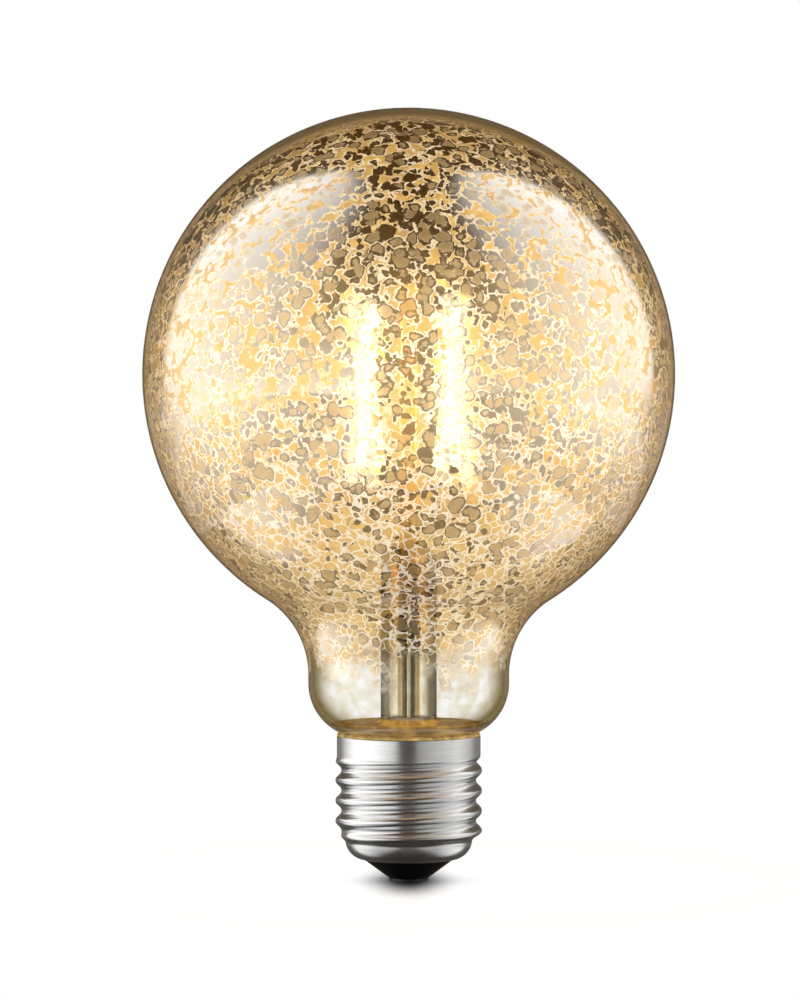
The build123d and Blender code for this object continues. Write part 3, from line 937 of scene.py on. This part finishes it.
@dataclass
class Globe:
    """Blown glass globe with neck, shoulder and tail, smooth enough to mirror the studio."""

    diameter: float = 94.98
    length: float = 137.99
    wall: float = 0.8
    neck: float = 35.9
    blend: float = 16.0
    shoulder: float = 9.75
    tail: float = 23.6
    tail_low: float = 23.4
    tail_edge: float = 0.4
    bead: float = 26.3
    seal: float = 28.4
    seal_width: float = 25.2
    seal_edge: float = 0.1
    ledge: float = 1.0
    segments: int = 192
    outer_steps: int = 128
    inner_steps: int = 96
    coat: MirrorCoat = field(default_factory=MirrorCoat)
    inside: ThinGlass = field(default_factory=ThinGlass)
    piece: Piece | None = None
    outer_faces: int = 0

    def half(self, wall: float, end: float, low: float, steps: int) -> Profile:
        """Half section of one face of the wall from the crown down to the end of the shoulder.

        Args:
            wall: Depth below the outside.
            end: Radius where the shoulder ends.
            low: Height where the shoulder ends.
            steps: Steps along the globe.

        Returns:
            The points.
        """
        ball, neck = self.diameter / 2, self.neck / 2
        centre = self.length - ball
        fall = math.degrees(math.acos((neck + self.blend) / (ball + self.blend)))
        blend_z = centre - (ball + self.blend) * math.sin(math.radians(fall))
        turn = math.acos((self.tail / 2 - neck + self.shoulder) / self.shoulder)
        top = self.bead + self.shoulder * math.sin(turn)
        reach, drop = neck - wall - end, top - low
        round_r = (reach**2 + drop**2) / (2 * reach)
        sweep = math.degrees(math.acos(1 - reach / round_r))
        points = arc((0, centre), ball - wall, 90, -fall, steps)
        points += arc((neck + self.blend, blend_z), self.blend + wall, 180 - fall, 180, steps // 4)[1:]
        return points + arc((neck - wall - round_r, top), round_r, 0, -sweep, steps // 4)

    def build(self) -> None:
        """Build the mesh and hand it to the frame."""
        tail, bore, seal = self.tail / 2, self.tail / 2 - self.wall, self.seal_width / 2
        floor, edge = self.seal - self.ledge, self.seal_edge
        outer = self.half(0.0, tail, self.bead, self.outer_steps)
        outer += [(tail, self.bead - self.tail_edge), (tail, self.tail_low)]
        inner = self.half(self.wall, seal, self.seal, self.inner_steps)
        inner += [(seal, floor + edge), (seal, floor), (seal - edge, floor)]
        inner += [(bore, floor), (bore, self.tail_low)]
        self.piece = ring_mesh("globe_glass", circles(outer + inner[::-1], self.segments))
        self.outer_faces = (len(outer) - 1) * self.segments
        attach(self.piece, "root")
        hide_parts("globe_envelope")
        LOG.info("globe built, %d faces", len(self.piece.data.polygons))

    def dress(self) -> None:
        """Coat on the outside face, plain glass on the inside face."""
        mesh = self.piece.data
        mesh.materials.append(self.coat.material())
        mesh.materials.append(self.inside.material())
        for face in mesh.polygons:
            face.material_index = 0 if face.index < self.outer_faces else 1


@dataclass
class ScrewCap:
    """Rolled cap with its knuckle thread, the same form as the CAD sheet."""

    rim: float = 26.0
    sheet: float = 0.3
    skirt: float = 25.7
    skirt_length: float = 3.5
    major: float = 26.2
    minor: float = 24.1
    pitch: float = 3.629
    top_root: float = 4.4
    run_out: float = 1.5
    lead_in: float = 2.1
    crest_swell: float = 0.05
    fade_turn: float = 1.0
    fade_length: float = 0.3
    foot: float = 22.6
    foot_height: float = 6.8
    foot_bulge: float = 0.75
    lip: float = 16.2
    lip_height: float = 3.85
    segments: int = 144
    thread_steps: int = 150
    curl_steps: int = 16
    # Rolled edge from the skirt's foot round to the inside: steps inwards, and below the rim.
    rim_roll: tuple[Pair, ...] = (
        ((0.0, 0.4), (0.0, 0.2), (0.0, 0.12), (0.06, 0.02), (0.14, 0.0), (0.24, 0.03), (0.3, 0.14))
    )
    skirt_edge: float = 0.4
    finish: RolledAluminium = field(default_factory=RolledAluminium)
    piece: Piece | None = None

    @staticmethod
    def ease(share: float) -> float:
        """Smooth step from 0 to 1.

        Args:
            share: Position between the ends.

        Returns:
            The eased share.
        """
        share = min(1.0, max(0.0, share))
        return share * share * (3 - 2 * share)

    def radius(self, z: float, angle: float) -> float:
        """Outside radius of the sheet in the threaded zone.

        Args:
            z: Height in millimetres.
            angle: Angle round the axis in radians.

        Returns:
            Radius in millimetres.
        """
        turns = (z - self.rim + self.top_root) / self.pitch - angle / (2 * math.pi)
        phase, swell = 2 * math.pi * turns, self.crest_swell
        wave = (1 - (1 + swell) * math.cos(phase) + swell * math.cos(3 * phase)) / 2
        wound = round(turns) + angle / (2 * math.pi)
        fade = 1 - self.ease((wound - self.fade_turn) / self.fade_length)
        radius = self.major / 2 - (self.major - self.minor) / 2 * (1 - wave) * fade
        skirt, foot = self.skirt / 2, self.foot / 2
        radius = skirt + (radius - skirt) * self.ease((self.rim - self.skirt_length - z) / self.run_out)
        return foot + (radius - foot) * self.ease((z - self.foot_height) / self.lead_in)

    def curl(self) -> Profile:
        """Bulged foot of the sheet from its lip up to the thread.

        Returns:
            The points.
        """
        lip, foot, low, high = self.lip / 2, self.foot / 2, self.lip_height, self.foot_height
        run = math.hypot(foot - lip, high - low)
        bend = (run**2 / 4 + self.foot_bulge**2) / (2 * self.foot_bulge)
        out = ((high - low) / run, (lip - foot) / run)
        centre = (
            (lip + foot) / 2 - (bend - self.foot_bulge) * out[0],
            (low + high) / 2 - (bend - self.foot_bulge) * out[1],
        )
        start = math.degrees(math.atan2(low - centre[1], lip - centre[0]))
        end = math.degrees(math.atan2(high - centre[1], foot - centre[0]))
        return [(lip, low + self.sheet)] + arc(centre, bend, start, end, self.curl_steps)

    def build(self) -> None:
        """Build the mesh and hand it to the frame."""
        skirt, low, high = self.skirt / 2, self.foot_height, self.rim - self.skirt_length
        heights = [low + (high - low) * i / self.thread_steps for i in range(self.thread_steps + 1)]
        edge = [(skirt, high + self.skirt_edge)]
        edge += [(skirt - inwards, self.rim - below) for inwards, below in self.rim_roll]
        edge += [(skirt - self.sheet, high)]
        rings = circles(self.curl()[:-1], self.segments)
        rings += [([self.radius(z, a) for a in round_angles(self.segments)], z) for z in heights]
        rings += circles(edge, self.segments)
        self.piece = ring_mesh("screw_cap", rings)
        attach(self.piece, "root")
        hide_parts("screw_shell")
        LOG.info("screw cap built, %d faces", len(self.piece.data.polygons))

    def dress(self) -> None:
        """Satin aluminium all over."""
        self.piece.data.materials.append(self.finish.material())


@dataclass
class Dressing:
    """CAD nodes that keep their mesh and share one finish."""

    finish: PlainFinish | StemGlass | LitPhosphor
    nodes: list[str]

    def dress(self) -> None:
        """Give every node the finish."""
        material = self.finish.material()
        for name in self.nodes:
            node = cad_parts[name]
            node.data.materials.clear()
            node.data.materials.append(material)
            LOG.info("%s dressed with %s", name, material.name)


def hang_card(name: str, corners: Sequence[Colour], material: Material) -> None:
    """Hang a flat light card in the studio, where only mirrors and glass see it.

    Args:
        name: Object name.
        corners: Four corners in metres.
        material: Glow of the card.
    """
    mesh = bpy.data.meshes.new(name)
    mesh.from_pydata(corners, [], [(0, 1, 2, 3)])
    mesh.materials.append(material)
    card = bpy.data.objects.new(name, mesh)
    card.visible_camera = False
    card.visible_diffuse = False
    card.visible_shadow = False
    bpy.context.scene.collection.objects.link(card)


@dataclass(frozen=True)
class Softbox:
    """Tall see-through light card beside the bulb: bright panel, low band and soft strip at the foot.

    Lengths are in metres. The strip's start, rise and fall are turns round the bulb, in degrees from -Y.
    """

    name: str
    side: float
    band_start: Pair
    band_glow: float
    strip_glow: float
    strip_start: Pair
    strip_rise: Step
    strip_fall: Step
    colour: Colour = (1.0, 0.99, 0.97)
    depth: Pair = (-2.6, 1.6)
    height: Pair = (-1.0, 2.6)
    foot_fade: Pair = (-1.0, -0.2)
    top_fade: Pair = (2.6, 0.9)
    band_heights: Pair = (0.5, 0.1)
    panel_ramp: Pair = (-0.6, 0.25)
    panel_end: Pair = (0.40, 0.32)
    panel_glow: float = 1.06
    strip_top: Pair = (0.12, -0.03)
    strip_foot: Pair = (-0.24, -0.08)

    def material(self) -> Material:
        """Build the glow of the card.

        Returns:
            The material.
        """
        g = MaterialGraph(self.name)
        place = g.split(g.place(METRE))
        back, up = place["Y"], place["Z"]
        band = g.step(up, *self.band_heights, 0.0, self.band_glow)
        band = g.times(band, g.step(back, *self.band_start))
        panel = g.times(g.ramp(back, *self.panel_ramp), self.panel_glow)
        panel = g.times(g.math("MAXIMUM", panel, band), g.step(back, *self.panel_end))

        turn = g.math("DEGREES", g.math("ARCTAN2", abs(self.side), g.times(back, -1.0)))
        rise, fall = (
            g.ramp(turn, low, high, first * self.strip_glow, last * self.strip_glow)
            for low, high, first, last in (self.strip_rise, self.strip_fall)
        )
        strip = g.times(g.math("MINIMUM", rise, fall), g.step(turn, *self.strip_start))
        level = g.times(g.step(up, *self.strip_top), g.step(up, *self.strip_foot))
        fade = g.times(g.step(up, *self.foot_fade), g.step(up, *self.top_fade))
        glow = g.times(g.mix(level, panel, strip), fade)

        card = g.add("AddShader")
        g.put(card.inputs[0], g.add("Emission", Color=self.colour, Strength=glow).outputs[0])
        g.put(card.inputs[1], g.add("BsdfTransparent").outputs[0])
        return g.finish(card.outputs[0])

    def build(self) -> None:
        """Hang the card."""
        x, (near, far), (low, high) = self.side, self.depth, self.height
        corners = [(x, near, low), (x, far, low), (x, far, high), (x, near, high)]
        hang_card(self.name, corners, self.material())


@dataclass(frozen=True)
class Shelf:
    """Level card beside the cap: bright below for the cap, grey top that hides the strip from the globe.

    Lengths are in metres.
    """

    name: str
    side: float
    under_glow: float
    colour: Colour = (1.0, 0.97, 0.93)
    width: Pair = (0.07, 0.36)
    depth: Pair = (-0.35, 0.1)
    height: float = 0.036
    rise_across: Step = (0.07, 0.30, 0.3, 1.0)
    rise_back: Step = (-0.25, -0.02, 0.25, 1.0)

    def material(self) -> Material:
        """Build the glow of both faces.

        Returns:
            The material.
        """
        g = MaterialGraph(self.name)
        place = g.split(g.place(METRE))
        across = g.ramp(g.math("ABSOLUTE", place["X"]), *self.rise_across)
        top = g.times(across, g.ramp(place["Y"], *self.rise_back))
        under = g.add("NewGeometry").outputs["Backfacing"]
        glow = g.mix(under, top, self.under_glow)
        return g.finish(g.add("Emission", Color=self.colour, Strength=glow).outputs[0])

    def build(self) -> None:
        """Hang the card, front face up."""
        left, right = sorted(math.copysign(x, self.side) for x in self.width)
        (front, rear), z = self.depth, self.height
        corners = [(left, front, z), (right, front, z), (right, rear, z), (left, rear, z)]
        hang_card(self.name, corners, self.material())


@dataclass(frozen=True)
class Room:
    """White to the camera and through glass; mirrors see a dark room, brown above, grey at the back.

    Each wall is a part of the direction, its limits there and its colour.
    """

    dark: Colour = (0.036, 0.030, 0.022)
    walls: tuple[tuple[str, Pair, Colour], ...] = (
        ("up", (0.15, 0.6), (0.052, 0.021, 0.003)),
        ("aside", (0.25, 0.65), (0.105, 0.078, 0.045)),
        ("up", (0.05, -0.1), (0.058, 0.052, 0.046)),
        ("back", (0.82, 0.96), (0.10, 0.09, 0.08)),
        ("up", (-0.5, -0.95), (0.020, 0.016, 0.011)),
    )

    def build(self) -> None:
        """Set up the world."""
        world = bpy.data.worlds.new("studio")
        bpy.context.scene.world = world
        world.use_nodes = True
        world.cycles.sampling_method = "NONE"
        g = Graph(world.node_tree)
        path = g.add("LightPath").outputs
        mirrored = g.math("SUBTRACT", path["Is Glossy Ray"], path["Is Transmission Ray"], clamp=True)
        way = g.split(g.add("TexCoord").outputs["Generated"])
        parts = {"aside": g.math("ABSOLUTE", way["X"]), "back": way["Y"], "up": way["Z"]}
        room: Value = self.dark
        for part, limits, colour in self.walls:
            room = g.mix(g.step(parts[part], *limits), room, colour)
        glow = g.add("Background", Color=g.mix(mirrored, WHITE, room))
        g.add("OutputWorld", Surface=glow.outputs[0])


@dataclass(frozen=True)
class Floor:
    """Pale floor with a soft contact shade painted under the cap, and painted light that washes out the
    globe's own shadow round it; in millimetres.
    """

    radii: tuple[float, float, float] = (110.0, 60.0, 0.0)
    segments: int = 96
    pale: Colour = (0.70, 0.70, 0.70)
    paler: Colour = (0.72, 0.72, 0.72)
    shade: Colour = (0.06, 0.06, 0.06)
    cloud_size: float = 40.0
    roughness: float = 0.8
    shadow_reach: Pair = (9.0, 36.0)
    shadow_limits: Pair = (0.05, 0.85)
    # Painted light: camera-only lift that whitens the floor, stronger near the bulb where it washes out
    # the globe's own shadow, none in the painted contact shade.
    lift: Step = (75.0, 10.0, 0.38, 0.56)
    lift_limits: Pair = (0.2, 1.15)

    def material(self) -> Material:
        """Build the material.

        Returns:
            The material.
        """
        g = MaterialGraph("pale_floor")
        position = g.place()
        pale = g.mix(g.noise(position, self.cloud_size), self.pale, self.paler)
        wide, deep = self.shadow_reach
        away = g.reach(position, (1 / wide, 1 / deep, 0.0))
        # Painted light: lift stronger near the bulb, none in the painted contact shade.
        lift = g.times(g.step(g.reach(position), *self.lift), g.step(away, *self.lift_limits))
        seen = g.add("LightPath").outputs["Is Camera Ray"]
        body = g.add(
            "BsdfPrincipled",
            Base_Color=g.mix(g.step(away, *self.shadow_limits), self.shade, pale),
            Roughness=self.roughness,
            Emission_Color=WHITE,
            Emission_Strength=g.times(seen, lift),
        )
        return g.finish(body.outputs[0])

    def build(self) -> None:
        """Build the floor."""
        plane = ring_mesh("floor", circles([(radius, 0.0) for radius in self.radii], self.segments))
        plane.data.materials.append(self.material())
        plane.visible_glossy = False


@dataclass(frozen=True)
class Camera:
    """Camera level with the globe, framed as the photograph; metres, the sensor in millimetres."""

    distance: float = 0.86
    eye: float = 0.0906
    aim: float = 0.0681
    view_height: float = 0.1786
    shift: float = -0.0087
    sensor: float = 36.0

    def build(self) -> None:
        """Place the camera."""
        data = bpy.data.cameras.new("camera")
        data.sensor_fit = "VERTICAL"
        data.sensor_height = self.sensor
        place = Vector((0, -self.distance, self.eye))
        look = Vector((0, 0, self.aim)) - place
        data.lens = self.sensor * look.length / self.view_height
        data.shift_x = self.shift
        camera = bpy.data.objects.new("camera", data)
        camera.location = place
        camera.rotation_euler = look.to_track_quat("-Z", "Y").to_euler()
        bpy.context.scene.collection.objects.link(camera)
        bpy.context.scene.camera = camera


@dataclass(frozen=True)
class Studio:
    """White table, two side softboxes with their shelves, dark room for reflections, and the camera."""

    left: Softbox = Softbox(
        name="softbox_left",
        side=-0.5,
        band_start=(-1.85, -1.65),
        band_glow=0.42,
        strip_glow=1.36,
        strip_start=(14.0, 22.0),
        strip_rise=(18.0, 65.0, 0.45, 1.0),
        strip_fall=(88.0, 138.0, 1.0, 0.08),
    )
    right: Softbox = Softbox(
        name="softbox_right",
        side=0.5,
        band_start=(-2.6, -2.4),
        band_glow=0.34,
        strip_glow=0.69,
        strip_start=(9.0, 17.0),
        strip_rise=(13.0, 80.0, 0.34, 1.0),
        strip_fall=(88.0, 132.0, 1.0, 0.18),
    )
    shelf_share: float = 0.9

    def build(self) -> None:
        """Set up floor, lights, world and camera."""
        Floor().build()
        for softbox in (self.left, self.right):
            softbox.build()
            shelf_glow = softbox.strip_glow * self.shelf_share
            Shelf(softbox.name + "_shelf", softbox.side, shelf_glow).build()
        Room().build()
        Camera().build()
        scene = bpy.context.scene
        scene.view_settings.view_transform = "Standard"
        scene.cycles.transparent_max_bounces = 10
        scene.cycles.max_bounces = 6
        scene.cycles.diffuse_bounces = 1
        scene.cycles.glossy_bounces = 3
        scene.cycles.transmission_bounces = 6
        LOG.info("studio built")


def dressings() -> list[Dressing]:
    """Finishes of the CAD nodes that keep their own mesh.

    Returns:
        One entry per finish.
    """
    bars = range(1, 5)
    tabs = [f"filament_{i}_{end}_tab" for i in bars for end in ("lower", "upper")]
    wires = [f"{kind}_{side}" for kind in ("lead_wire", "jumper_wire") for side in ("left", "right")]
    drawn = tabs + wires + ["top_wire_lower", "top_wire_upper"]
    finishes = [
        (StemGlass(), ["stem_flare", "exhaust_tube", "support_rod"]),
        (LitPhosphor(), [f"led_filament_{i}" for i in bars]),
        (PlainFinish("drawn_wire", (0.60, 0.57, 0.52), 0.3, metallic=1.0), drawn),
        (PlainFinish("black_foot", (0.002, 0.002, 0.002), 0.3, specular=0.2), ["cap_insulator"]),
        # Painted shade: the centre contact is near black for the shade it sits in at the floor.
        (PlainFinish("shaded_contact", (0.05, 0.05, 0.05), 0.45, metallic=1.0), ["centre_contact"]),
        (PlainFinish("cement", (0.70, 0.46, 0.15), 0.6, cloud=0.35), ["basing_cement"]),
        (PlainFinish("laminate", (0.10, 0.26, 0.14), 0.5), ["driver_board"]),
        (PlainFinish("moulded_black", (0.03, 0.03, 0.03), 0.5), ["bridge_rectifier", "driver_chip"]),
        (PlainFinish("fired_chip", (0.06, 0.06, 0.07), 0.45), ["chip_resistors"]),
        (PlainFinish("shrunk_sleeve", (0.05, 0.06, 0.10), 0.3), ["smoothing_capacitor"]),
        (PlainFinish("dipped_lacquer", (0.18, 0.40, 0.30), 0.3), ["fusible_resistor"]),
        (PlainFinish("wire_sleeve", (0.72, 0.69, 0.62), 0.5), ["live_wire", "neutral_wire"]),
    ]
    return [Dressing(finish, nodes) for finish, nodes in finishes]


def main() -> None:
    """Build every piece in order."""
    logging.basicConfig(level=logging.INFO)
    for piece in (Globe(), ScrewCap()):
        piece.build()
        piece.dress()
    for dressing in dressings():
        dressing.dress()
    Studio().build()


if __name__ == "__main__":
    main()
